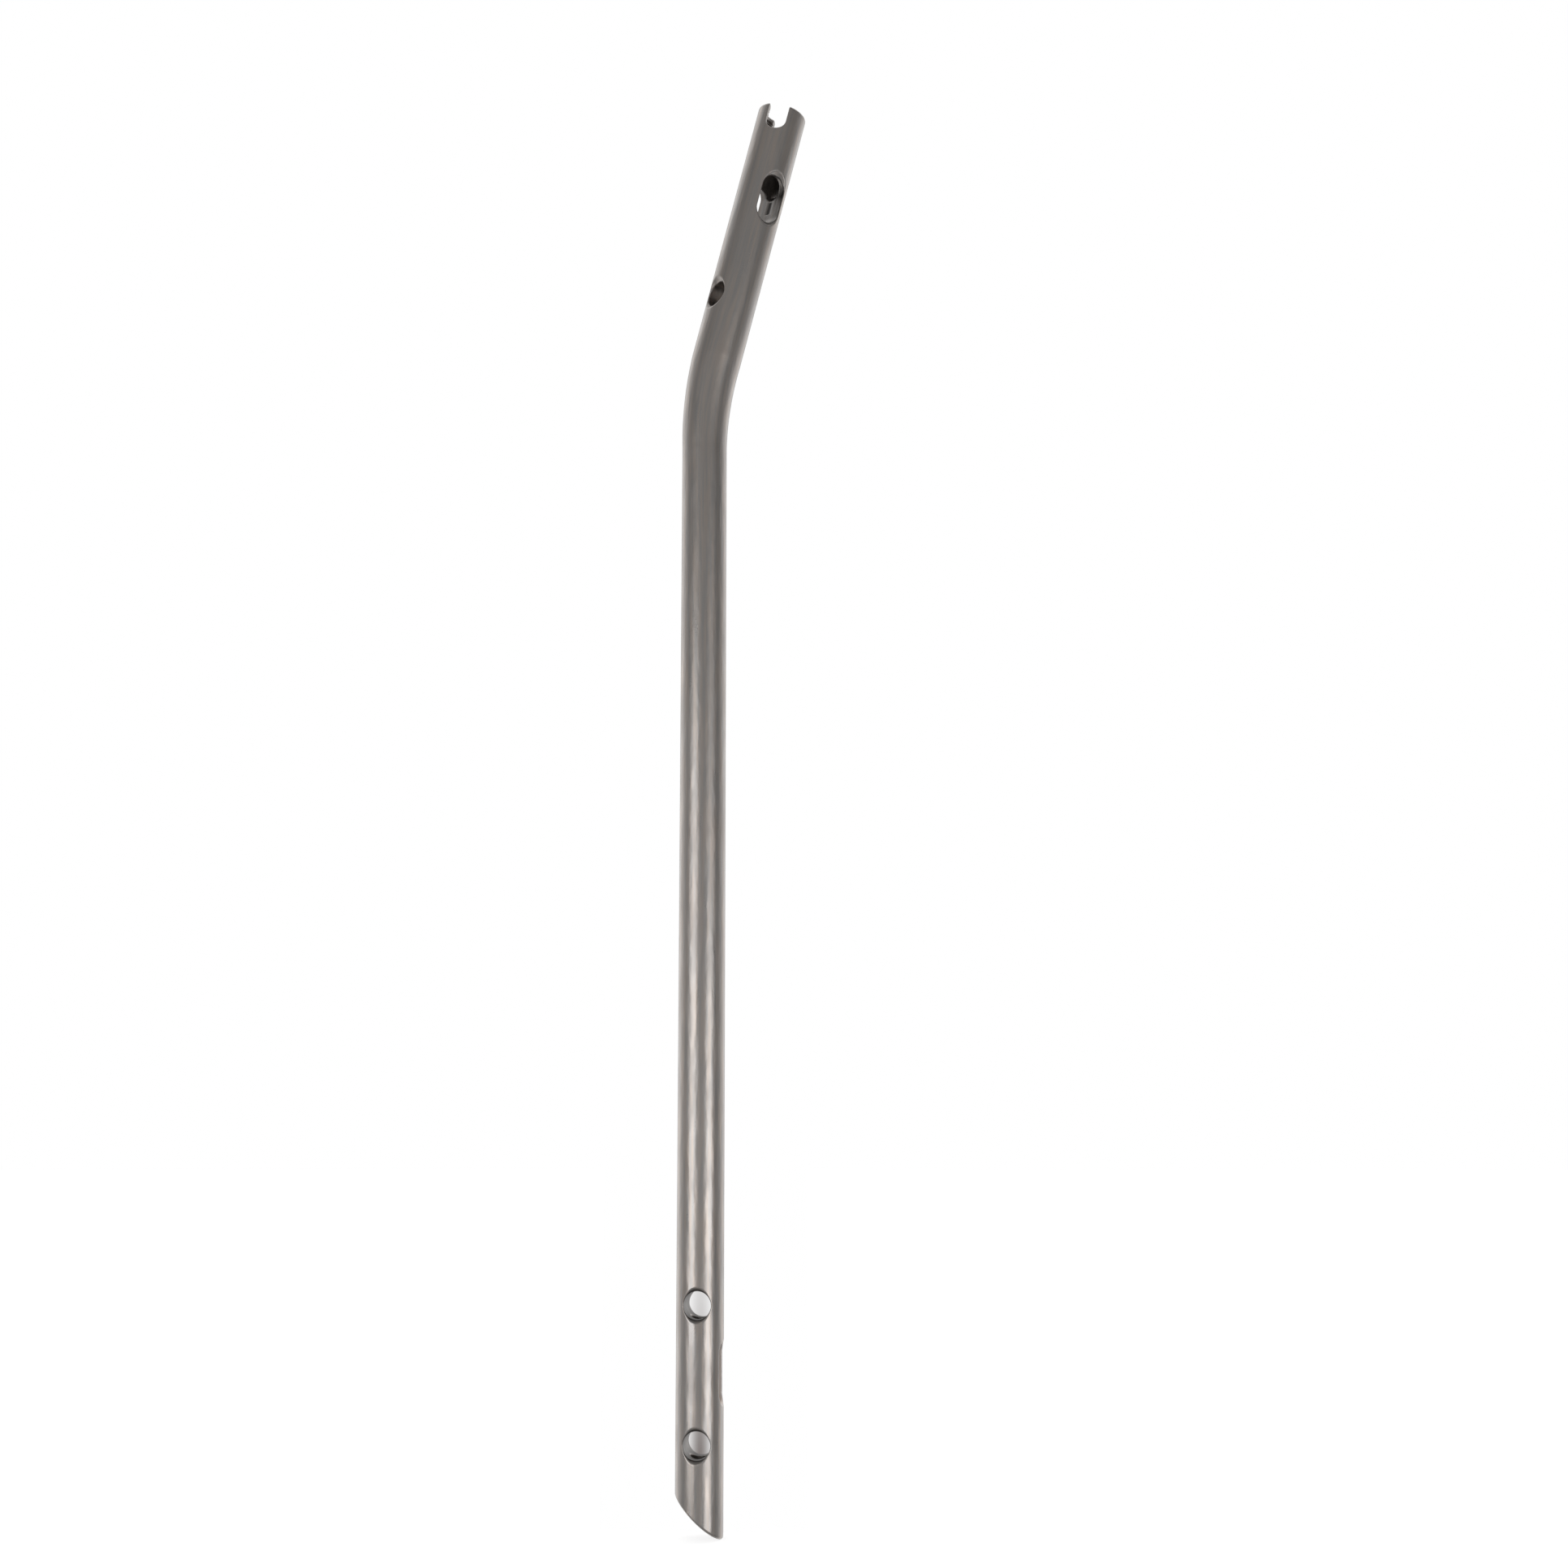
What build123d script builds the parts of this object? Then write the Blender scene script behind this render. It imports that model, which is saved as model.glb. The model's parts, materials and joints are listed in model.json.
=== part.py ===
from build123d import *

import os
from math import cos, radians, sin

# Cannulated intramedullary nail: one machined titanium tube.
#
# Frame: millimetres, +Z up.  The straight shaft runs along +Z and the driving
# end is up.  +X is the side the driving end leans to (anterior), and the bend
# lies in the XZ plane.  The origin is on the shaft axis, level with the lowest
# point of the bevelled tip.

# ---------------------------------------------------------------- outside
SHAFT_R = 4.5            # straight shaft, 9 mm nail
HEAD_R = 5.0             # driving end, 10 mm
BEND_Z = 210.9           # height where the shaft leaves the straight
BEND_R = 75.0            # radius of the bend, on the nail's own axis
BEND_DEG = 14.4          # lean of the driving end
HEAD_L = 55.25           # straight length of the driving end
HEAD_RIM_FILLET = 0.6    # outer edge of the driving-end face

# ---------------------------------------------------------------- bores
CANNULA_R = 1.75         # guide-wire bore along the whole nail
THREAD_MINOR_R = 3.4     # driving-end threaded bore, at its minor diameter
THREAD_BORE_DEPTH = 17.2
PILOT_R = 2.76           # short pilot bore below the threaded bore
PILOT_TOP = 18.4         # depths of the pilot bore below the driving-end face
PILOT_DEPTH = 21.3
PILOT_TIP = 0.6          # length of the conical shoulder below the pilot bore
MOUTH_CHAMFER = 0.4      # inner edge of the driving-end face

# ---------------------------------------------------------------- driving end
NOTCH_W = 4.2            # two opposed key notches in the rim
NOTCH_DEPTH = 5.5
SLOT_FROM_TOP = 20.0     # oblong locking slot, centre to driving-end face
SLOT_R = 2.7
SLOT_CENTRES = 4.6       # distance between the slot's two end centres
SLOT_AZ = 45.0           # slot axis, from -Y towards +X
OBLIQUE_FROM_TOP = 42.2  # round locking hole, centre to driving-end face
OBLIQUE_R = 2.6
OBLIQUE_AZ = -45.0       # round hole axis, from -Y towards -X
HEAD_SINK_H = 4.15       # height above the axis where the countersinks start

# ---------------------------------------------------------------- far end
LOCK_R = 2.6             # two side-to-side locking holes
LOCK_LOW_Z = 16.9
LOCK_HIGH_Z = 42.1
SHAFT_SINK_H = 3.9
FRONT_SLOT_Z = 29.6      # front slot, centre height
FRONT_SLOT_R = 1.95
FRONT_SLOT_CENTRES = 7.4
FRONT_SINK_H = 4.15

# ---------------------------------------------------------------- tip
BEVEL_BACK_Z = 7.9       # height of the bevel at the back of the shaft
BEVEL_MID_Z = 3.27       # height of the bevel on the shaft axis
BEVEL_FRONT_Z = -0.394   # height of the bevel at the front, before rounding
BEVEL_FILLET = 0.4       # outer edge of the bevel
EXIT_FILLET = 0.25       # edge of the guide-wire exit in the bevel

CUT = 4.0                # how far cutting shapes run past the metal
SINK_TAPER = -45.0       # countersinks open at 45 degrees a side

# shaft base, turned so that no surface seam runs through the tip
shaft_base = Plane(origin=(0, 0, 0), x_dir=(0, 1, 0), z_dir=(0, 0, 1))

# driving-end axis and face
lean = radians(BEND_DEG)
head_dir = (sin(lean), 0, cos(lean))
head_x = (cos(lean), 0, -sin(lean))
head_base = Plane(
    origin=(BEND_R * (1 - cos(lean)), 0, BEND_Z + BEND_R * sin(lean)),
    x_dir=head_x,
    z_dir=head_dir,
)
head_face = head_base.offset(HEAD_L)


def head_side_plane(from_top, azimuth, flip=1):
    """Plane on the driving-end axis that faces outwards at an azimuth."""
    az = radians(azimuth)
    across = head_face.x_dir * cos(az) + head_face.y_dir * sin(az)
    out = head_face.x_dir * sin(az) - head_face.y_dir * cos(az)
    centre = head_face.origin - head_face.z_dir * from_top
    return Plane(origin=centre, x_dir=across * flip, z_dir=out * flip)


with BuildPart() as nail_body:
    # shaft, tapered bend and driving end
    with BuildSketch(shaft_base.offset(-CUT)):
        Circle(SHAFT_R)
    extrude(amount=BEND_Z + CUT)
    with BuildLine(Plane.XZ) as bend_path:
        CenterArc((BEND_R, BEND_Z), BEND_R, 180, -BEND_DEG)
    with BuildSketch(Plane.XY.offset(BEND_Z)):
        Circle(SHAFT_R)
    with BuildSketch(head_base):
        Circle(HEAD_R)
    sweep(path=bend_path.line, multisection=True)
    with BuildSketch(head_base):
        Circle(HEAD_R)
    extrude(amount=HEAD_L)
    rim_edge = nail_body.faces().sort_by(Axis.Z)[-1].edges()
    fillet(rim_edge, HEAD_RIM_FILLET)

    # guide-wire bore, straight through the shaft, round the bend and up the head
    with BuildSketch(shaft_base.offset(-2 * CUT)):
        Circle(CANNULA_R)
    extrude(amount=BEND_Z + 2 * CUT, mode=Mode.SUBTRACT)
    with BuildSketch(Plane.XY.offset(BEND_Z)):
        Circle(CANNULA_R)
    sweep(path=bend_path.line, mode=Mode.SUBTRACT)
    with BuildSketch(head_base):
        Circle(CANNULA_R)
    extrude(amount=HEAD_L + CUT, mode=Mode.SUBTRACT)

    # stepped bore of the driving end, with its conical shoulders and mouth chamfer
    with BuildSketch(Plane(head_face.origin, x_dir=head_x, z_dir=(0, -1, 0))):
        with BuildLine():
            Polyline(
                (0, CUT),
                (THREAD_MINOR_R + MOUTH_CHAMFER + CUT, CUT),
                (THREAD_MINOR_R, -MOUTH_CHAMFER),
                (THREAD_MINOR_R, -THREAD_BORE_DEPTH),
                (PILOT_R, -PILOT_TOP),
                (PILOT_R, -PILOT_DEPTH),
                (CANNULA_R, -PILOT_DEPTH - PILOT_TIP),
                (0, -PILOT_DEPTH - PILOT_TIP),
                close=True,
            )
        make_face()
    revolve(
        axis=Axis(head_face.origin, head_face.z_dir),
        revolution_arc=360,
        mode=Mode.SUBTRACT,
    )

    # key notches, both walls of the rim in one cut
    with BuildSketch(Plane(head_face.origin, x_dir=head_x, z_dir=(0, -1, 0))):
        with Locations((0, (CUT - NOTCH_DEPTH) / 2)):
            SlotOverall(NOTCH_DEPTH + CUT, NOTCH_W, rotation=90)
    extrude(amount=HEAD_R + CUT, both=True, mode=Mode.SUBTRACT)

    # oblong slot and round hole of the driving end, each through both walls
    with BuildSketch(head_side_plane(SLOT_FROM_TOP, SLOT_AZ)):
        SlotCenterToCenter(SLOT_CENTRES, 2 * SLOT_R, rotation=90)
    extrude(amount=HEAD_R + CUT, both=True, mode=Mode.SUBTRACT)
    with BuildSketch(head_side_plane(OBLIQUE_FROM_TOP, OBLIQUE_AZ)):
        Circle(OBLIQUE_R)
    extrude(amount=HEAD_R + CUT, both=True, mode=Mode.SUBTRACT)
    for side in (1, -1):
        slot_face = head_side_plane(SLOT_FROM_TOP, SLOT_AZ, side)
        with BuildSketch(slot_face.offset(HEAD_SINK_H)):
            SlotCenterToCenter(SLOT_CENTRES, 2 * SLOT_R, rotation=90)
        extrude(amount=HEAD_R - HEAD_SINK_H + 1, taper=SINK_TAPER, mode=Mode.SUBTRACT)
        hole_face = head_side_plane(OBLIQUE_FROM_TOP, OBLIQUE_AZ, side)
        with BuildSketch(hole_face.offset(HEAD_SINK_H)):
            Circle(OBLIQUE_R)
        extrude(amount=HEAD_R - HEAD_SINK_H + 1, taper=SINK_TAPER, mode=Mode.SUBTRACT)

    # side-to-side locking holes of the far end
    with BuildSketch(Plane.XZ):
        with Locations((0, LOCK_LOW_Z), (0, LOCK_HIGH_Z)):
            Circle(LOCK_R)
    extrude(amount=SHAFT_R + CUT, both=True, mode=Mode.SUBTRACT)
    for side in (1, -1):
        face = Plane(origin=(0, 0, 0), x_dir=(side, 0, 0), z_dir=(0, -side, 0))
        with BuildSketch(face.offset(SHAFT_SINK_H)):
            with Locations((0, LOCK_LOW_Z), (0, LOCK_HIGH_Z)):
                Circle(LOCK_R)
        extrude(amount=SHAFT_R - SHAFT_SINK_H + 1, taper=SINK_TAPER, mode=Mode.SUBTRACT)

    # front slot, through the front wall into the guide-wire bore only
    front = Plane(origin=(0, 0, FRONT_SLOT_Z), x_dir=(0, 1, 0), z_dir=(1, 0, 0))
    with BuildSketch(front):
        SlotCenterToCenter(FRONT_SLOT_CENTRES, 2 * FRONT_SLOT_R, rotation=90)
    extrude(amount=SHAFT_R + CUT, mode=Mode.SUBTRACT)
    with BuildSketch(front.offset(FRONT_SINK_H)):
        SlotCenterToCenter(FRONT_SLOT_CENTRES, 2 * FRONT_SLOT_R, rotation=90)
    extrude(amount=SHAFT_R - FRONT_SINK_H + 1, taper=SINK_TAPER, mode=Mode.SUBTRACT)

    # bevelled tip: cut away everything below a shallow arc, then round its edges
    with BuildSketch(Plane.XZ):
        with BuildLine():
            bevel = ThreePointArc(
                (-SHAFT_R, BEVEL_BACK_Z),
                (0, BEVEL_MID_Z),
                (SHAFT_R, BEVEL_FRONT_Z),
            )
            Polyline(
                bevel @ 1,
                (2 * SHAFT_R, BEVEL_FRONT_Z),
                (2 * SHAFT_R, -2 * CUT),
                (-2 * SHAFT_R, -2 * CUT),
                (-2 * SHAFT_R, BEVEL_BACK_Z),
                bevel @ 0,
            )
        make_face()
    extrude(amount=SHAFT_R + CUT, both=True, mode=Mode.SUBTRACT)
    bevel_face = nail_body.faces().sort_by(Axis.Z)[0]
    exit_edges = bevel_face.inner_wires()[0].edges()
    fillet(bevel_face.outer_wire().edges(), BEVEL_FILLET)
    fillet(exit_edges, EXIT_FILLET)

nail_body.part.label = "nail_body"

os.makedirs("parts", exist_ok=True)
export_step(nail_body.part, "parts/nail_body.step")
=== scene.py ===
import json
import math

import bpy
import numpy as np
from mathutils import Euler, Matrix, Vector


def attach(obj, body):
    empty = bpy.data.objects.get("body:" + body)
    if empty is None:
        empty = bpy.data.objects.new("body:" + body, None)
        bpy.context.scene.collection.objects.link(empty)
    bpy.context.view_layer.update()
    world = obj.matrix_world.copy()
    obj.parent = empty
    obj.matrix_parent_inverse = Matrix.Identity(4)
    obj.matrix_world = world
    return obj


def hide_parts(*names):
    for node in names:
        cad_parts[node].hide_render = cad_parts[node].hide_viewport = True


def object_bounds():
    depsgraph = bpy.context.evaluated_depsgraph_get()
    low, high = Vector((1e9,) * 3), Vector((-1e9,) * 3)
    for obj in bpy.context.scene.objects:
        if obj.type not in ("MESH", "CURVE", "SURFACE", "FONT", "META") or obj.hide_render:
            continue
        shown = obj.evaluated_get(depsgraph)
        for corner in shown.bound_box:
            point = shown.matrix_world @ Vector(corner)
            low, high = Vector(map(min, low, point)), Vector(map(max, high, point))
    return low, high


# Cannulated intramedullary nail.  The visible nail is one fine mesh that stands
# for the CAD node nail_body.  It is worked out in a straightened frame, in
# millimetres: x and y across the nail, s along its axis from the tip.  The
# last step bends it onto the CAD axis and turns it into metres.

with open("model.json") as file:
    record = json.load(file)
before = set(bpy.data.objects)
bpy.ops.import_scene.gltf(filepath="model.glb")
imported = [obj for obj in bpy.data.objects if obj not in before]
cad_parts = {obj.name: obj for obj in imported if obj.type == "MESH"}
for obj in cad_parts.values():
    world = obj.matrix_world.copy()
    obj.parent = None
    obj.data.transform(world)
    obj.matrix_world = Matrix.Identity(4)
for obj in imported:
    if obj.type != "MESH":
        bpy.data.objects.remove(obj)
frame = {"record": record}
cad_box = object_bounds()
mounts = {m["name"]: m for m in frame["record"]["mounts"]}

# ---------------------------------------------------------------- dimensions
SHAFT_R = 4.5
HEAD_R = 5.0
BEND_Z = 210.9
BEND_R = 75.0
LEAN = math.radians(14.4)
HEAD_L = 55.25
HEAD_S = BEND_Z + BEND_R * LEAN      # where the bend ends
TOP_S = HEAD_S + HEAD_L              # driving-end face
RIM_ROUND = 0.6

CANNULA_R = mounts["guide_wire_bore"]["dims"]["r_mm"]
THREAD_MINOR_R = mounts["drive_thread"]["dims"]["r_mm"]
THREAD_BORE_DEPTH = 17.2
THREAD_FROM, THREAD_TO = 1.0, 11.6   # depths below the driving-end face
THREAD_PITCH = 0.75
THREAD_DEPTH = 0.4
THREAD_HALF_OPEN = 0.375             # half the groove's width at its mouth, in pitches
THREAD_FLANK = math.radians(30)
PILOT_R = 2.76
PILOT_TOP = 18.4
PILOT_DEPTH = 21.3
PILOT_TIP = 0.6
MOUTH_CHAMFER = 0.4

NOTCH_R = 2.1
NOTCH_DEPTH = 5.5
SLOT_FROM_TOP = 20.0
SLOT_HALF_LENGTH = 2.3
SLOT_AZ = math.radians(45)
OBLIQUE_FROM_TOP = 42.2
OBLIQUE_AZ = math.radians(-45)
HEAD_SINK_H = 4.15

SHAFT_SINK_H = 3.9
FRONT_SLOT_HALF_LENGTH = 3.7
FRONT_SINK_H = 4.15

BEVEL_ARC = ((-4.5, 7.9), (0.0, 3.27), (4.5, -0.394))
BEVEL_REACH = 20.0                   # the bevel never cuts above this height

EDGE_ROUND = 0.2                     # broken edge of most machined openings
BORE_ROUND = 0.25
FRONT_SLOT_ROUND = 0.25
FINE_ROUND = 0.08                    # pilot bore and mouth chamfer
THREAD_ROUND = 0.05
BEVEL_ROUND = 0.45                   # on the nail's axis: less at the back, more at the front
BEVEL_ROUND_CHANGE = 0.3
DIAGONAL = math.sqrt(0.5)            # countersinks and chamfers open at 45 degrees a side

# painted light and shade: how much darker or lighter each kind of wall is drawn than the outside;
# painted shade in the chamfers, bores and openings, darkest in the pilot bore, and painted light in the
# oblique hole and the front slot
OUTSIDE, CHAMFER, BORE, OPENING, PILOT = 1.0, 0.75, 0.9, 0.43, 0.07
ROUND_OPENING, PAINTED_LIGHT_SLOT = 1.15, 2.0

# ---------------------------------------------------------------- grid of the skin
R_LEVELS = 1.27 + 0.15 * np.arange(28)       # from inside the guide-wire bore to past the outside
THETAS = np.arange(200) * (2 * math.pi / 200)
RINGS_FROM, RINGS_TO = -0.83, TOP_S + 0.5
# stretches with holes, slots and edges
MACHINED = ((-1.0, 47.0), (TOP_S - 47.5, TOP_S - 37.0), (TOP_S - 28.5, TOP_S + 1.0))
FINE_GAP, BEND_GAP, PLAIN_GAP = 0.14, 0.6, 2.0
GAP_GROWTH = 0.25                    # how fast the rings spread away from a machined stretch

# ---------------------------------------------------------------- stage, in metres and degrees
CAMERA_AT = Vector((0.06092, -0.37922, 0.07533))
CAMERA_TURN = (99.808, 0.108, 6.754)
CAMERA_LENS = 45.294
CAMERA_AZ = math.degrees(math.atan2(CAMERA_AT.x, -CAMERA_AT.y))

SOFTBOX_AWAY = 0.30
OVERHEAD = 0.2                       # extra light from straight above
FLOOR_SPAN = 3.0                     # half the floor's width
PAPER_GLOW = 0.75

# paper behind the tip with a painted soft shadow of the nail, in place of a cast one
SHEET_SPAN = 0.02                    # half the width of the paper behind the tip
SHEET_BEHIND = 0.0052                # just clear of the nail's back
SHEET_TALL = 0.0677
SHADOW_X = -0.0007
SHADOW_HALF_WIDTH = 0.0036
SHADOW_FROM, SHADOW_FULL = 0.008, 0.0125     # heights where the shadow comes in above the bevel
SHADOW_TOP = 0.0646                  # height where it has faded out
SHADOW_DEPTH = 1.03                  # how deep it would be at the floor


def circle_through(p, q, r):
    """Centre and radius of the circle through three points."""
    (ax, ay), (bx, by), (cx, cy) = p, q, r
    d = 2 * (ax * (by - cy) + bx * (cy - ay) + cx * (ay - by))
    a2, b2, c2 = ax * ax + ay * ay, bx * bx + by * by, cx * cx + cy * cy
    ux = (a2 * (by - cy) + b2 * (cy - ay) + c2 * (ay - by)) / d
    uy = (a2 * (cx - bx) + b2 * (ax - cx) + c2 * (bx - ax)) / d
    return ux, uy, math.hypot(ax - ux, ay - uy)


BEVEL_X, BEVEL_S, BEVEL_R = circle_through(*BEVEL_ARC)


def narrowing_bore(r, depth, wide_r, wide_end, narrow_r, narrow_from):
    """Distance to a bore that narrows on a cone between two depths."""
    steep = (narrow_from - wide_end) / (wide_r - narrow_r)
    cone = (depth - narrow_from + (r - narrow_r) * steep) / math.hypot(1, steep)
    return np.maximum(r - wide_r, cone)


def long_hole(across, along, half_length, radius):
    """Distance to a slot with round ends, or to a round hole where half_length is 0."""
    return np.hypot(across, np.maximum(np.abs(along) - half_length, 0)) - radius


def walls(x, y, s):
    """Every wall of the nail as (distance, edge rounding, painted light and shade), distance negative in
    the metal.
    """
    r = np.hypot(x, y)
    bend_share = np.clip((s - BEND_Z) / (HEAD_S - BEND_Z), 0, 1)
    yield r - (SHAFT_R + (HEAD_R - SHAFT_R) * bend_share), 0.0, OUTSIDE

    bevel = np.hypot(x - BEVEL_X, s - BEVEL_S) - BEVEL_R
    bevel_round = BEVEL_ROUND + BEVEL_ROUND_CHANGE * np.clip(x / SHAFT_R, -1, 1)
    yield np.where(s < BEVEL_REACH, bevel, -SHAFT_R), bevel_round, CHAMFER
    yield s - TOP_S, RIM_ROUND, OUTSIDE

    # guide-wire bore and the stepped bore of the driving end
    depth = TOP_S - s
    yield CANNULA_R - r, BORE_ROUND, BORE
    wide = narrowing_bore(r, depth, THREAD_MINOR_R, THREAD_BORE_DEPTH, PILOT_R, PILOT_TOP)
    yield -wide, EDGE_ROUND, BORE
    pilot = narrowing_bore(r, depth, PILOT_R, PILOT_DEPTH, CANNULA_R, PILOT_DEPTH + PILOT_TIP)
    yield -pilot, FINE_ROUND, PILOT

    # thread groove and mouth chamfer
    turn = depth / THREAD_PITCH + np.arctan2(y, x) / (2 * math.pi)
    off = np.abs(turn - np.round(turn)) * THREAD_PITCH
    below_mouth = (THREAD_HALF_OPEN * THREAD_PITCH - off) / math.tan(THREAD_FLANK)
    flank = (r - THREAD_MINOR_R - below_mouth) * math.sin(THREAD_FLANK)
    groove = np.maximum(flank, r - THREAD_MINOR_R - THREAD_DEPTH)
    ends = np.maximum(THREAD_FROM - depth, depth - THREAD_TO)
    yield -np.maximum(groove, ends), THREAD_ROUND, BORE
    yield (THREAD_MINOR_R + MOUTH_CHAMFER - r - depth) * DIAGONAL, FINE_ROUND, CHAMFER

    # key notches through both rim walls
    notch = np.hypot(x, np.maximum(TOP_S - NOTCH_DEPTH + NOTCH_R - s, 0)) - NOTCH_R
    yield -notch, EDGE_ROUND, CHAMFER

    # oblong slot and round hole of the driving end
    head = (
        ("head_slot", "hole_r_mm", SLOT_AZ, SLOT_HALF_LENGTH, SLOT_FROM_TOP, OPENING),
        ("head_lock", "r_mm", OBLIQUE_AZ, 0.0, OBLIQUE_FROM_TOP, ROUND_OPENING),
    )
    for name, key, az, half_length, from_top, painted_light_and_shade in head:
        across = x * math.cos(az) + y * math.sin(az)
        out = np.abs(x * math.sin(az) - y * math.cos(az))
        hole = long_hole(across, depth - from_top, half_length, mounts[name]["dims"][key])
        yield -(hole - (out - HEAD_SINK_H)) * DIAGONAL, EDGE_ROUND, CHAMFER
        yield -hole, EDGE_ROUND, painted_light_and_shade

    # side-to-side locking holes
    for name in ("side_lock_low", "side_lock_high"):
        centre = mounts[name]["pos_m"][2] * 1000
        hole = long_hole(x, s - centre, 0.0, mounts[name]["dims"]["r_mm"])
        yield -(hole - (np.abs(y) - SHAFT_SINK_H)) * DIAGONAL, EDGE_ROUND, OPENING
        yield -hole, EDGE_ROUND, OPENING

    # front slot, through the front wall only
    centre = mounts["front_slot"]["pos_m"][2] * 1000
    hole = long_hole(y, s - centre, FRONT_SLOT_HALF_LENGTH, mounts["front_slot"]["dims"]["hole_r_mm"])
    # painted light: the front slot's walls are drawn twice as light as the outside
    yield -(hole - (x - FRONT_SINK_H)) * DIAGONAL, FRONT_SLOT_ROUND, PAINTED_LIGHT_SLOT
    yield np.minimum(-hole, x), FRONT_SLOT_ROUND, PAINTED_LIGHT_SLOT


def solid(p):
    """Signed distance to the finished nail, with every edge rounded, at points p."""
    total = None
    for wall, rounding, _ in walls(p[..., 0], p[..., 1], p[..., 2]):
        if total is None:
            total = wall
            continue
        corner = np.hypot(np.maximum(total + rounding, 0), np.maximum(wall + rounding, 0))
        total = np.minimum(-rounding, np.maximum(total, wall)) + corner
    return total


def slope(p, h=0.01):
    """Gradient of solid() at points p."""
    g = np.empty_like(p)
    for k in range(3):
        step = np.zeros(3)
        step[k] = h
        g[:, k] = (solid(p + step) - solid(p - step)) / (2 * h)
    return g


# ---------------------------------------------------------------- skin
def ring_gap(s):
    """Spacing of the rings: fine where the nail is machined, wide where it is plain."""
    away = min(max(a - s, s - b, 0.0) for a, b in MACHINED)
    widest = BEND_GAP if BEND_Z - 1 < s < HEAD_S + 1 else PLAIN_GAP
    return min(FINE_GAP + GAP_GROWTH * away, widest)


def ring_levels():
    """Heights of the grid's rings along the straightened nail."""
    levels = [RINGS_FROM]
    while levels[-1] < RINGS_TO:
        levels.append(levels[-1] + ring_gap(levels[-1]))
    return np.array(levels)


def skin():
    """Points and quads of the nail's surface, one point in each grid cell it crosses."""
    levels = ring_levels()
    ns, nt, nr = len(levels), len(THETAS), len(R_LEVELS)
    ct, st = np.cos(THETAS)[:, None], np.sin(THETAS)[:, None]
    value = np.empty((ns, nt, nr), np.float32)
    for k in range(ns):
        ring = np.empty((nt, nr, 3))
        ring[..., 0] = ct * R_LEVELS
        ring[..., 1] = st * R_LEVELS
        ring[..., 2] = levels[k]
        value[k] = solid(ring)
    metal = value < 0

    # cells with both metal and air at their corners
    corners = [(a, b, c) for a in (0, 1) for b in (0, 1) for c in (0, 1)]

    def corner(grid, a, b, c):
        return np.roll(grid, -b, axis=1)[a : ns - 1 + a, :, c : nr - 1 + c]

    count = sum(corner(metal, *abc).astype(np.int8) for abc in corners)
    crossed = (count > 0) & (count < 8)
    number = np.full(crossed.shape, -1, np.int64)
    number[crossed] = np.arange(crossed.sum())
    cell = np.argwhere(crossed)

    # start each point at the mean of its cell's crossings
    at = {abc: corner(value, *abc)[crossed] for abc in corners}
    total, hits = np.zeros((len(cell), 3)), np.zeros(len(cell))
    for a in corners:
        for axis in range(3):
            if a[axis]:
                continue
            b = tuple(1 if k == axis else a[k] for k in range(3))
            hit = (at[a] < 0) != (at[b] < 0)
            share = np.where(hit, at[a] / np.where(hit, at[a] - at[b], 1), 0)
            place = np.tile(np.array(a, float), (len(cell), 1))
            place[:, axis] = share
            total += place * hit[:, None]
            hits += hit
    where = total / hits[:, None]
    s = levels[cell[:, 0]] + where[:, 0] * np.diff(levels)[cell[:, 0]]
    theta = (cell[:, 1] + where[:, 1]) * (THETAS[1] - THETAS[0])
    r = R_LEVELS[cell[:, 2]] + where[:, 2] * (R_LEVELS[1] - R_LEVELS[0])
    points = np.stack([r * np.cos(theta), r * np.sin(theta), s], 1)

    # one quad round each grid edge the surface crosses
    quads = []
    low, high = slice(0, ns - 2), slice(1, ns - 1)
    inner, outer = slice(0, nr - 2), slice(1, nr - 1)
    before = np.roll(number, 1, axis=1)
    edge = metal[1:-1, :, :-1] != metal[1:-1, :, 1:]
    ring = (before[low], before[high], number[high], number[low])
    quads.append([g[edge] for g in ring])
    edge = (metal != np.roll(metal, -1, axis=1))[1:-1, :, 1:-1]
    ring = (number[low, :, inner], number[high, :, inner], number[high, :, outer], number[low, :, outer])
    quads.append([g[edge] for g in ring])
    edge = metal[:-1, :, 1:-1] != metal[1:, :, 1:-1]
    ring = (before[:, :, inner], number[:, :, inner], number[:, :, outer], before[:, :, outer])
    quads.append([g[edge] for g in ring])
    return points, np.concatenate([np.stack(q, 1) for q in quads])


def settle(points, quads, rounds=3, flattest=0.05):
    """Pulls the points onto the surface, and evens out their spacing between pulls."""
    a = quads.ravel()
    b = np.roll(quads, -1, axis=1).ravel()
    ends, others = np.concatenate([a, b]), np.concatenate([b, a])
    degree = np.bincount(ends, minlength=len(points))[:, None]
    for k in range(rounds):
        for _ in range(2):
            g = slope(points)
            points = points - g * (solid(points) / np.maximum((g * g).sum(1), flattest))[:, None]
        if k == rounds - 1:
            break
        mean = np.stack(
            [np.bincount(ends, points[others, c], len(points)) for c in range(3)], 1
        ) / degree
        points = points + 0.5 * (mean - points)
    return points


def bend(points, normals):
    """Moves straightened points and normals onto the CAD axis."""
    x, y, s = points.T
    angle = np.clip((s - BEND_Z) / BEND_R, 0, LEAN)
    past = np.where(s > HEAD_S, s - HEAD_S, np.minimum(s - BEND_Z, 0))
    c, n = np.cos(angle), np.sin(angle)
    place = np.stack([
        BEND_R - (BEND_R - x) * c + past * n,
        y,
        BEND_Z + (BEND_R - x) * n + past * c,
    ], 1)
    curved = (s > BEND_Z) & (s < HEAD_S)
    along = normals[:, 2] / np.where(curved, 1 - x / BEND_R, 1)
    turned = np.stack([
        normals[:, 0] * c + along * n,
        normals[:, 1],
        along * c - normals[:, 0] * n,
    ], 1)
    return place, turned / np.linalg.norm(turned, axis=1)[:, None]


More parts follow.
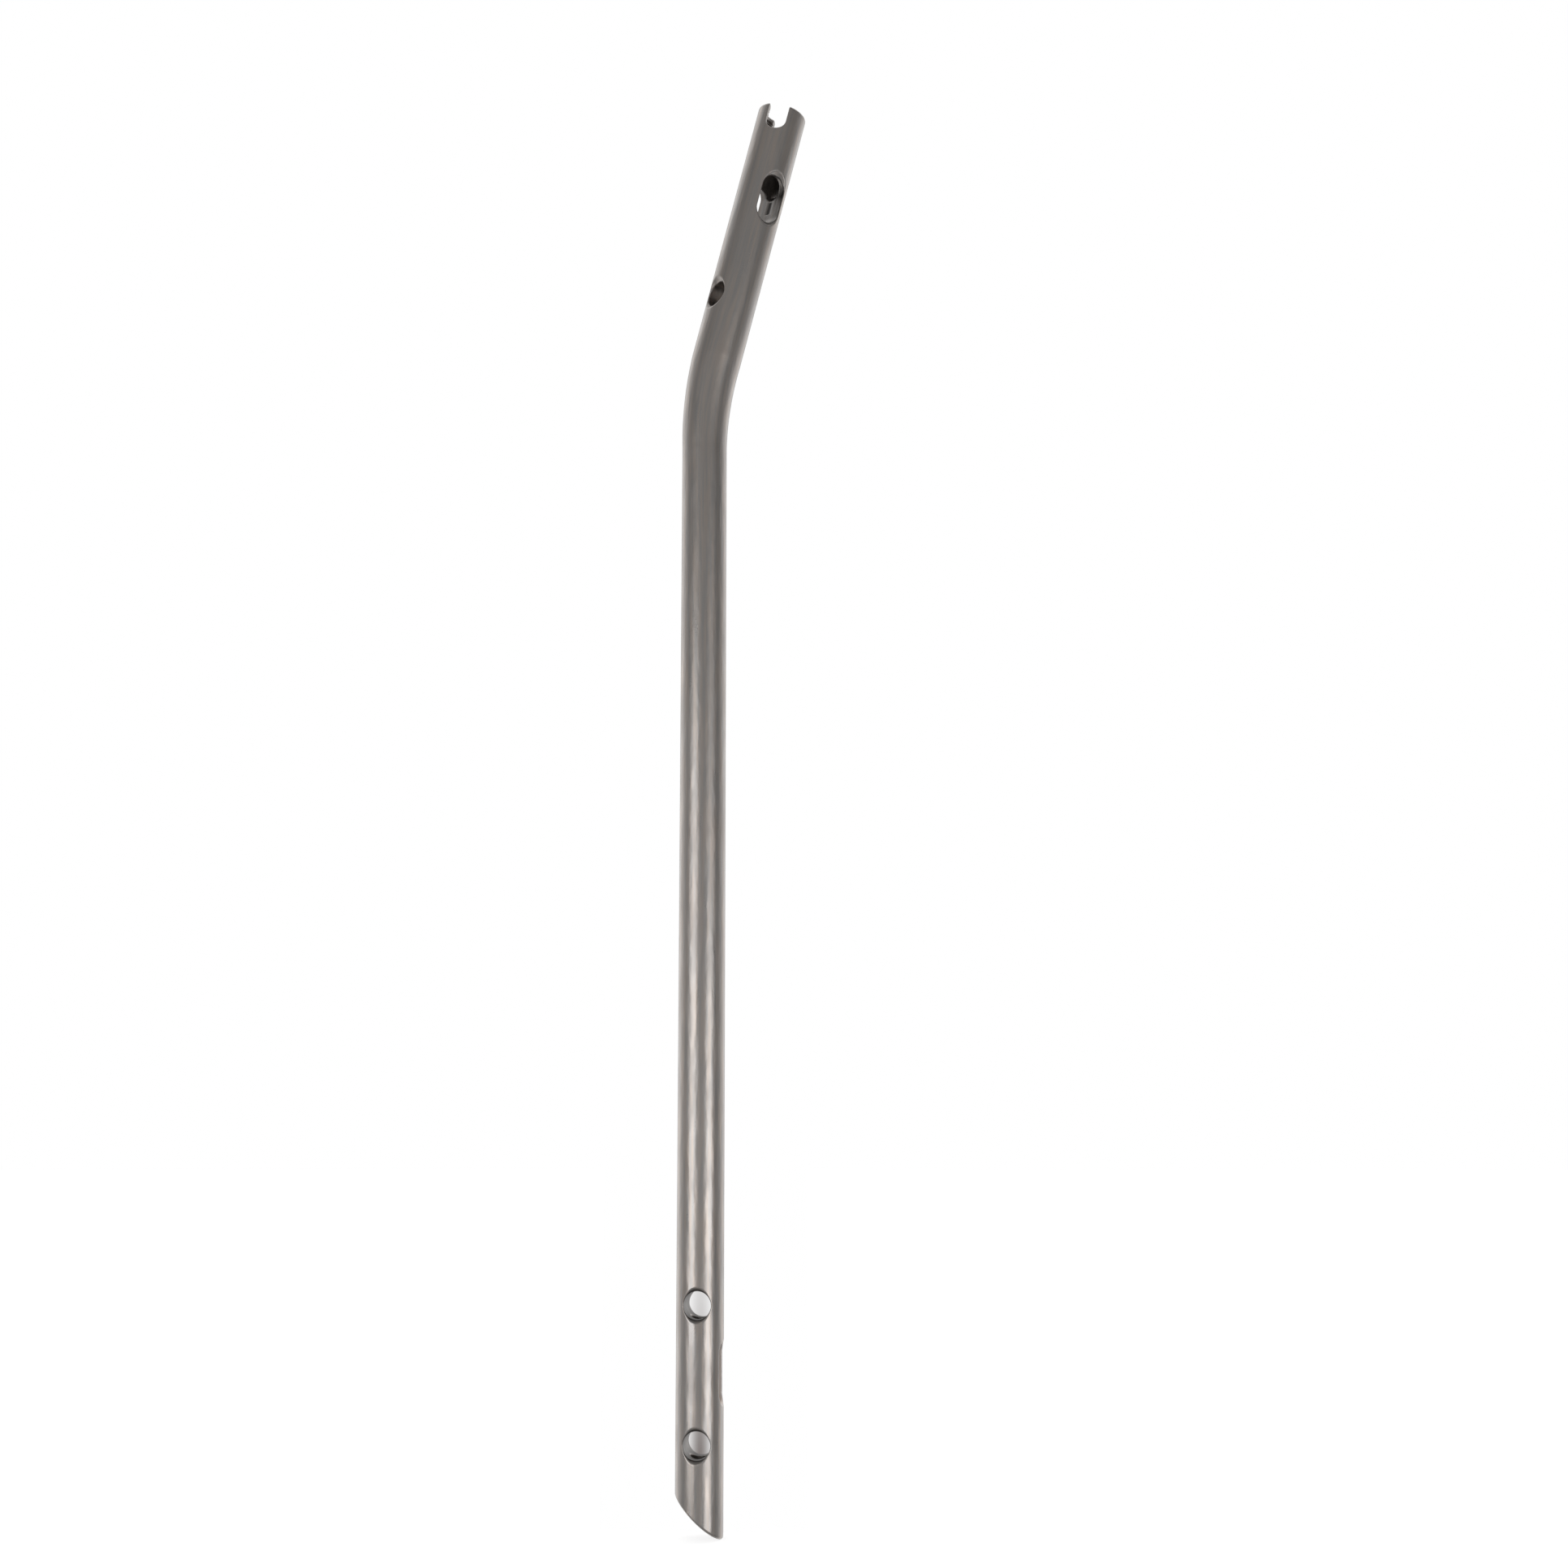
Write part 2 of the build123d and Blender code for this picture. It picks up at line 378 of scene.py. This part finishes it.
def surface_marks(points, edge_band=0.12, blend=0.05):
    """How close each point is to an edge, 0 to 1, and the painted light and shade of the wall there."""
    values, shades = [], []
    for wall, _, painted_light_and_shade in walls(points[:, 0], points[:, 1], points[:, 2]):
        values.append(np.broadcast_to(wall, len(points)))
        shades.append(painted_light_and_shade)
    values = np.stack(values)
    order = np.sort(values, axis=0)
    near = np.exp(-(order[-1] - order[-2]) / edge_band)
    share = np.exp((values - order[-1]) / blend)
    return near, (share * np.array(shades)[:, None]).sum(0) / share.sum(0)


def build_nail():
    """The nail as one mesh, with the marks that its material reads."""
    points, quads = skin()
    points = settle(points, quads)
    normals = slope(points)
    normals /= np.linalg.norm(normals, axis=1)[:, None]
    p = points[quads]
    facing = np.cross(p[:, 2] - p[:, 0], p[:, 3] - p[:, 1])
    wrong = (facing * normals[quads[:, 0]]).sum(1) < 0
    quads[wrong] = quads[wrong][:, ::-1]
    # closeness to an edge, and the painted light and shade of each kind of wall
    edge, painted_light_and_shade = surface_marks(points)
    place, turned = bend(points, normals)

    mesh = bpy.data.meshes.new("nail")
    mesh.from_pydata((place / 1000).tolist(), [], quads.tolist())
    mesh.polygons.foreach_set("use_smooth", np.ones(len(quads), bool))
    mesh.normals_split_custom_set_from_vertices(turned.tolist())
    straight = mesh.attributes.new("straight", "FLOAT_VECTOR", "POINT")
    straight.data.foreach_set("vector", points.astype(np.float32).ravel())
    for name, numbers in (("edge", edge), ("painted_light_and_shade", painted_light_and_shade)):
        layer = mesh.attributes.new(name, "FLOAT", "POINT")
        layer.data.foreach_set("value", numbers.astype(np.float32))
    nail = bpy.data.objects.new("nail", mesh)
    bpy.context.scene.collection.objects.link(nail)
    return nail


# ---------------------------------------------------------------- shader helpers
class Graph:
    """A short way to write node trees."""

    def __init__(self, tree):
        self.tree = tree
        tree.nodes.clear()

    def node(self, kind, inputs=None, **settings):
        n = self.tree.nodes.new(kind)
        for key, value in settings.items():
            setattr(n, key, value)
        for key, value in (inputs or {}).items():
            if isinstance(value, bpy.types.NodeSocket):
                self.tree.links.new(value, n.inputs[key])
            else:
                n.inputs[key].default_value = value
        return n

    def math(self, operation, *values, clamp=False):
        inputs = dict(enumerate(values))
        return self.node("ShaderNodeMath", inputs, operation=operation, use_clamp=clamp).outputs[0]

    def ramp(self, value, low, high, to_low, to_high):
        names = ("Value", "From Min", "From Max", "To Min", "To Max")
        inputs = dict(zip(names, (value, low, high, to_low, to_high)))
        return self.node("ShaderNodeMapRange", inputs, interpolation_type="SMOOTHSTEP").outputs[0]

    def mix(self, share, a, b):
        return self.node("ShaderNodeMix", {0: share, 6: a, 7: b}, data_type="RGBA").outputs[2]

    def stretch(self, vector, factors):
        inputs = {0: vector, 1: factors}
        return self.node("ShaderNodeVectorMath", inputs, operation="MULTIPLY").outputs[0]

    def attribute(self, name, output="Fac"):
        return self.node("ShaderNodeAttribute", attribute_name=name).outputs[output]

    def bump(self, height, strength, distance, normal=None):
        inputs = {"Height": height, "Strength": strength, "Distance": distance}
        if normal is not None:
            inputs["Normal"] = normal
        return self.node("ShaderNodeBump", inputs).outputs[0]

    def noise(self, vector, scale, detail=2.0):
        inputs = {"Vector": vector, "Scale": scale, "Detail": detail}
        return self.node("ShaderNodeTexNoise", inputs).outputs[0]


def new_material(name):
    """A material, and the graph to write its nodes with."""
    material = bpy.data.materials.new(name)
    material.use_nodes = True
    return material, Graph(material.node_tree)


def titanium():
    """Blasted, grey-brown anodised titanium with drawn streaks, bright broken edges, and painted light
    and shade by kind of wall.
    """
    material, g = new_material("titanium")
    straight = g.attribute("straight", "Vector")
    edge, painted_light_and_shade = g.attribute("edge"), g.attribute("painted_light_and_shade")
    streak = g.noise(g.stretch(straight, (1.0, 1.0, 0.035)), 2.2, 3.0)
    cloud_at = g.stretch(straight, (1.0, 1.0, 0.25))
    cloud = g.noise(cloud_at, 0.55, 4.0)
    speck = g.noise(straight, 22.0, 1.0)

    # colour: warm and cool streaks under greyer clouds, scaled by the painted light and shade of each
    # kind of wall
    warm = (0.48, 0.425, 0.385, 1)
    cool = (0.405, 0.390, 0.378, 1)
    cloudy = (0.385, 0.36, 0.345, 1)
    bare = (0.56, 0.53, 0.51, 1)
    pit = (0.30, 0.28, 0.27, 1)
    tint = g.mix(g.ramp(streak, 0.35, 0.65, 0.0, 1.0), cool, warm)
    tint = g.mix(g.ramp(cloud, 0.3, 0.7, 0.0, 0.5), tint, cloudy)
    shaded = g.node("ShaderNodeVectorMath", {0: tint, "Scale": painted_light_and_shade}, operation="SCALE").outputs[0]
    worn = g.mix(g.math("MULTIPLY", edge, 0.12), shaded, bare)
    speckled = g.mix(g.ramp(speck, 0.62, 0.8, 0.0, 0.25), worn, pit)

    # roughness: rougher where cut by a tool, and matt in the pilot bore and the front slot
    rough = g.math("ADD", g.ramp(cloud, 0.3, 0.7, 0.28, 0.37), g.ramp(streak, 0.3, 0.7, -0.015, 0.015))
    machined = g.ramp(painted_light_and_shade, 0.7, 0.95, 1.0, 0.0)
    rough = g.math("ADD", rough, g.math("MULTIPLY", machined, 0.04))
    matt = g.math("ADD", g.ramp(painted_light_and_shade, 0.1, 0.35, 0.45, 0.0), g.ramp(painted_light_and_shade, 1.3, 1.8, 0.0, 0.2))
    rough = g.math("ADD", rough, matt)

    # fine grain over slow unevenness, in metres
    grain = g.bump(g.noise(straight, 3.0, 3.0), 0.35, 0.00003)
    uneven = g.bump(g.noise(cloud_at, 0.9, 1.0), 0.5, 0.00011, grain)
    shader = g.node("ShaderNodeBsdfPrincipled", {
        "Base Color": speckled,
        "Metallic": 1.0,
        "Roughness": rough,
        "Normal": uneven,
    })
    g.node("ShaderNodeOutputMaterial", {"Surface": shader.outputs[0]})
    return material


def paper():
    """Pale matt paper with a faint tooth and an even glow of its own."""
    material, g = new_material("paper")
    place = g.node("ShaderNodeTexCoord").outputs["Object"]
    tooth = g.bump(g.noise(place, 900.0, 2.0), 0.05, 0.0001)
    sheet = g.node("ShaderNodeBsdfPrincipled", {
        "Base Color": (0.5, 0.5, 0.5, 1),
        "Roughness": 0.9,
        "Specular IOR Level": 0.0,
        "Emission Color": (1, 1, 1, 1),
        "Emission Strength": PAPER_GLOW,
        "Normal": tooth,
    })
    g.node("ShaderNodeOutputMaterial", {"Surface": sheet.outputs[0]})
    return material


def painted_shadow_paper():
    """White paper with a painted soft contact shadow of the nail, clear when seen from behind."""
    material, g = new_material("painted_shadow_paper")
    place = g.node("ShaderNodeTexCoord").outputs["Object"]
    xyz = g.node("ShaderNodeSeparateXYZ", {0: place}).outputs
    aside = g.math("ABSOLUTE", g.math("SUBTRACT", xyz[0], SHADOW_X))
    near_axis = g.ramp(aside, 0.0, SHADOW_HALF_WIDTH, 1.0, 0.0)
    fading = g.math("MULTIPLY_ADD", xyz[2], -SHADOW_DEPTH / SHADOW_TOP, SHADOW_DEPTH, clamp=True)
    above_bevel = g.ramp(xyz[2], SHADOW_FROM, SHADOW_FULL, 0.0, 1.0)
    # painted shadow: darkest on the nail's axis, fading with height, and none below the bevel
    dark = g.math("MULTIPLY", near_axis, g.math("MULTIPLY", fading, above_bevel))
    colour = g.mix(dark, (1, 1, 1, 1), (0.04, 0.01, 0.0, 1))
    lit = g.node("ShaderNodeEmission", {"Color": colour, "Strength": 1.0}).outputs[0]
    clear = g.node("ShaderNodeBsdfTransparent").outputs[0]
    behind = g.node("ShaderNodeNewGeometry").outputs["Backfacing"]
    shader = g.node("ShaderNodeMixShader", {0: behind, 1: lit, 2: clear})
    g.node("ShaderNodeOutputMaterial", {"Surface": shader.outputs[0]})
    return material


def studio():
    """Even studio walls, lit paper behind the nail with the nail's shadow, brighter overhead."""
    world = bpy.data.worlds.new("studio")
    world.use_nodes = True
    bpy.context.scene.world = world
    g = Graph(world.node_tree)
    direction = g.node("ShaderNodeTexCoord").outputs["Generated"]
    xyz = g.node("ShaderNodeSeparateXYZ", {0: direction}).outputs
    azimuth = g.math("ARCTAN2", xyz[0], g.math("MULTIPLY", xyz[1], -1.0))
    azimuth = g.math("SUBTRACT", g.math("MULTIPLY", azimuth, 180 / math.pi), CAMERA_AZ)
    height = g.math("MULTIPLY", g.math("ARCSINE", xyz[2]), 180 / math.pi)
    around = g.math("ABSOLUTE", azimuth)
    side = g.ramp(azimuth, -70.0, 70.0, 0.33, 0.25)
    front = g.ramp(around, 15.0, 70.0, 0.115, 0.0)
    above, below = g.ramp(height, 0.0, 22.0, 1.1, 0.82), g.ramp(height, -11.0, -3.0, 0.8, 1.0)
    light = g.math("MULTIPLY", g.math("ADD", side, front), g.math("MULTIPLY", above, below))
    paper_lit = g.ramp(around, 78.0, 150.0, 0.0, 0.95)
    own_shadow = g.ramp(around, 148.0, 168.0, 1.0, 0.15)
    light = g.math("ADD", light, g.math("MULTIPLY", paper_lit, own_shadow))
    light = g.math("ADD", light, g.ramp(height, 48.0, 70.0, 0.0, OVERHEAD))

    # the camera itself sees plain white
    seen = g.node("ShaderNodeLightPath").outputs["Is Camera Ray"]
    strength = g.math("ADD", g.math("MULTIPLY", light, g.math("SUBTRACT", 1.0, seen)), seen)
    back = g.node("ShaderNodeBackground", {"Color": (1.0, 1.0, 1.0, 1), "Strength": strength})
    g.node("ShaderNodeOutputWorld", {"Surface": back.outputs[0]})


def softbox(name, azimuth, height, width, tall, radiance):
    """A softbox round the nail, at an azimuth from the camera, facing the nail."""
    light = bpy.data.lights.new(name, "AREA")
    light.shape = "RECTANGLE"
    light.size, light.size_y = width, tall
    light.energy = radiance * 4 * width * tall
    box = bpy.data.objects.new(name, light)
    bpy.context.scene.collection.objects.link(box)
    a = math.radians(azimuth + CAMERA_AZ)
    box.location = (SOFTBOX_AWAY * math.sin(a), -SOFTBOX_AWAY * math.cos(a), height)
    box.rotation_euler = (math.pi / 2, 0, a)
    box.visible_camera = False


def flat_sheet(name, corner, one_side, other_side, material):
    """One flat, staged quad that throws no shadow and shows in no reflection."""
    corner, a, b = Vector(corner), Vector(one_side), Vector(other_side)
    mesh = bpy.data.meshes.new(name)
    mesh.from_pydata([corner, corner + a, corner + a + b, corner + b], [], [(0, 1, 2, 3)])
    mesh.materials.append(material)
    sheet = bpy.data.objects.new(name, mesh)
    bpy.context.scene.collection.objects.link(sheet)
    sheet.visible_glossy = False
    sheet.visible_shadow = False
    return sheet


def place_camera():
    """A camera in front of the nail and to its right, looking slightly up."""
    camera = bpy.data.objects.new("camera", bpy.data.cameras.new("camera"))
    bpy.context.scene.collection.objects.link(camera)
    camera.location = CAMERA_AT
    camera.rotation_euler = Euler([math.radians(a) for a in CAMERA_TURN])
    camera.data.sensor_width = 36.0
    camera.data.lens = CAMERA_LENS
    camera.data.clip_start = 0.01
    bpy.context.scene.camera = camera


# ---------------------------------------------------------------- the piece
nail = build_nail()
nail.data.materials.append(titanium())
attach(nail, "root")
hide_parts("nail_body")

# ---------------------------------------------------------------- its surroundings
low, wide = cad_box[0].z, 2 * FLOOR_SPAN
flat_sheet("floor", (-FLOOR_SPAN, -FLOOR_SPAN, low), (wide, 0, 0), (0, wide, 0), paper())
# paper behind the tip, carrying the painted shadow of the nail
behind = flat_sheet(
    "paper_behind",
    (-SHEET_SPAN, SHEET_BEHIND, low),
    (2 * SHEET_SPAN, 0, 0),
    (0, 0, SHEET_TALL),
    painted_shadow_paper(),
)
behind.visible_diffuse = False
studio()
softbox("softbox_left", azimuth=-43, height=0.093, width=0.17, tall=0.26, radiance=1.3)
softbox("softbox_right", azimuth=40, height=0.018, width=0.16, tall=0.235, radiance=1.55)
softbox("softbox_right_high", azimuth=40, height=0.20, width=0.16, tall=0.125, radiance=0.35)
place_camera()
bpy.context.scene.view_settings.view_transform = "Standard"
